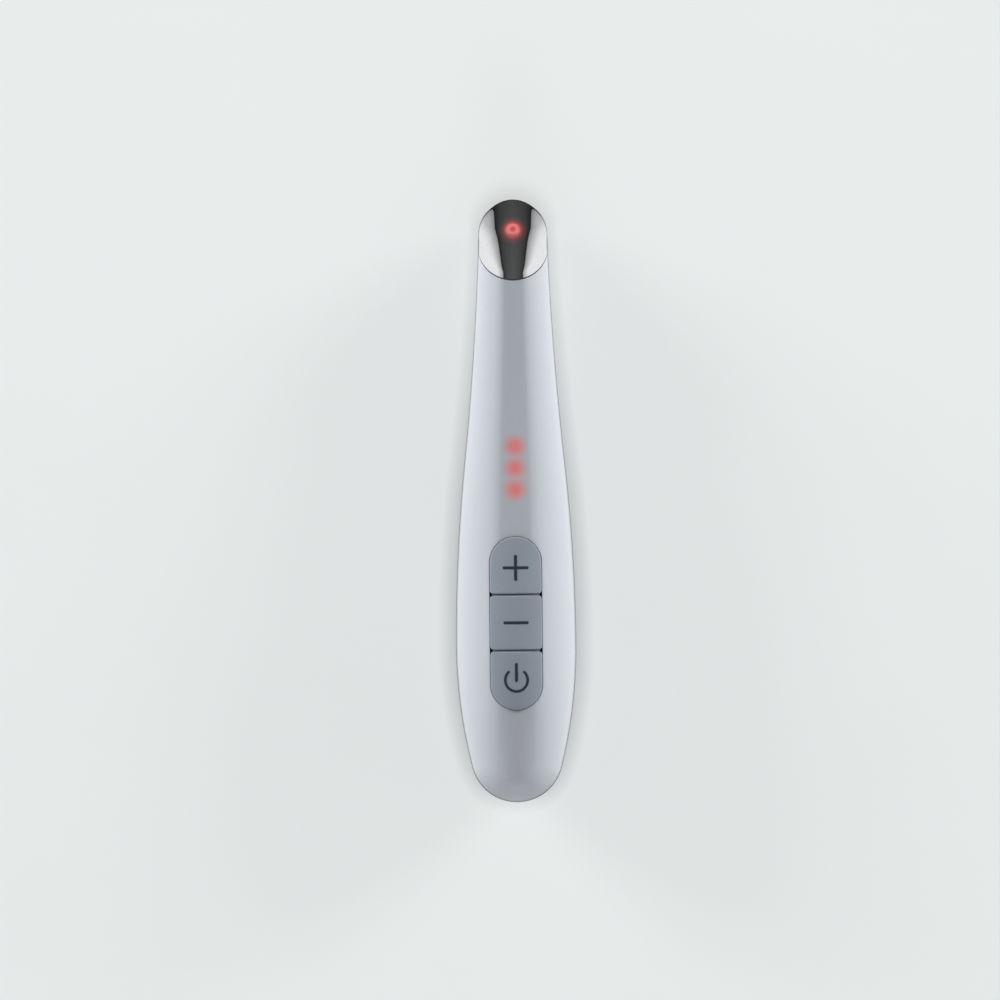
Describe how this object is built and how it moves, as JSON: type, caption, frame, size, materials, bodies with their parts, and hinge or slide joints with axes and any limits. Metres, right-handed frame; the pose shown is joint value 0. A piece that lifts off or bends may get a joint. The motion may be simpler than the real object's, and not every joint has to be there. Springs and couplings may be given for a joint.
{
  "type": "eye lift wand",
  "caption": "Slim oval handheld massage wand with a slanted chrome head, a light in the head, soft grey control keys on the grip and a charging socket in the tail.",
  "frame": {"origin": "on the small resting flat of the back, under the widest section of the grip", "axes": "+Y along the wand from tail to tip, +Z out of the front with the keys, X across the grip"},
  "size_m": [0.0288, 0.145, 0.0233],
  "materials": {
    "pearl_plastic": "pearl silver-white, high gloss",
    "chrome": "thin aluminium cap, chrome plated and mirror polished",
    "dark_rubber": "matte",
    "black_plastic": "matte",
    "red_lens": "clear red, domed",
    "red_light": "clear red",
    "ceramic_white": "matte",
    "circuit_board": "satin",
    "steel": "bright",
    "clear_plastic": "clear",
    "cell_foil": "satin foil",
    "foam": "matte foam",
    "red_insulation": "satin",
    "grey_key": "fine matte"
  },
  "bodies": {
    "housing": {"front_shell": "pearl_plastic", "rear_shell": "pearl_plastic", "massage_head": "chrome", "head_seal": "dark_rubber", "head_carrier": "black_plastic", "head_lens": "red_lens", "heater_ring": "ceramic_white", "head_board": "circuit_board", "head_led": "red_light", "thermistor": "black_plastic", "main_board": "circuit_board", "board_screws": "steel", "indicator_leds": "red_light", "light_guide": "clear_plastic", "controller_chip": "black_plastic", "charge_chip": "black_plastic", "boost_coil": "black_plastic", "board_parts": "ceramic_white", "battery_cell": "cell_foil", "battery_foam": "foam", "battery_guard": "circuit_board", "battery_leads": "red_insulation", "charge_port_shell": "steel", "charge_port_core": "black_plastic", "motor_can": "steel", "motor_sleeve": "dark_rubber", "motor_leads": "red_insulation", "head_leads": "red_insulation", "plus_switch": "black_plastic", "minus_switch": "black_plastic", "power_switch": "black_plastic"},
    "plus_button": {"plus_key": "grey_key", "plus_stem": "black_plastic"},
    "minus_button": {"minus_key": "grey_key", "minus_stem": "black_plastic"},
    "power_button": {"power_key": "grey_key", "power_stem": "black_plastic"},
    "motor_rotor": {"motor_shaft": "steel", "motor_weight": "steel"}
  },
  "joints": [
    {"name": "plus_press", "type": "slide", "parent": "housing", "child": "plus_button", "axis": [0, 0, -1], "range_m": [0, 0.0005], "stiffness_N_per_m": 4000},
    {"name": "minus_press", "type": "slide", "parent": "housing", "child": "minus_button", "axis": [0, 0, -1], "range_m": [0, 0.0005], "stiffness_N_per_m": 4000},
    {"name": "power_press", "type": "slide", "parent": "housing", "child": "power_button", "axis": [0, 0, -1], "range_m": [0, 0.0005], "stiffness_N_per_m": 4000},
    {"name": "motor_spin", "type": "hinge", "parent": "housing", "child": "motor_rotor", "pos_m": [0, 0.08, 0.0109], "axis": [0, 1, 0], "continuous": true}
  ]
}
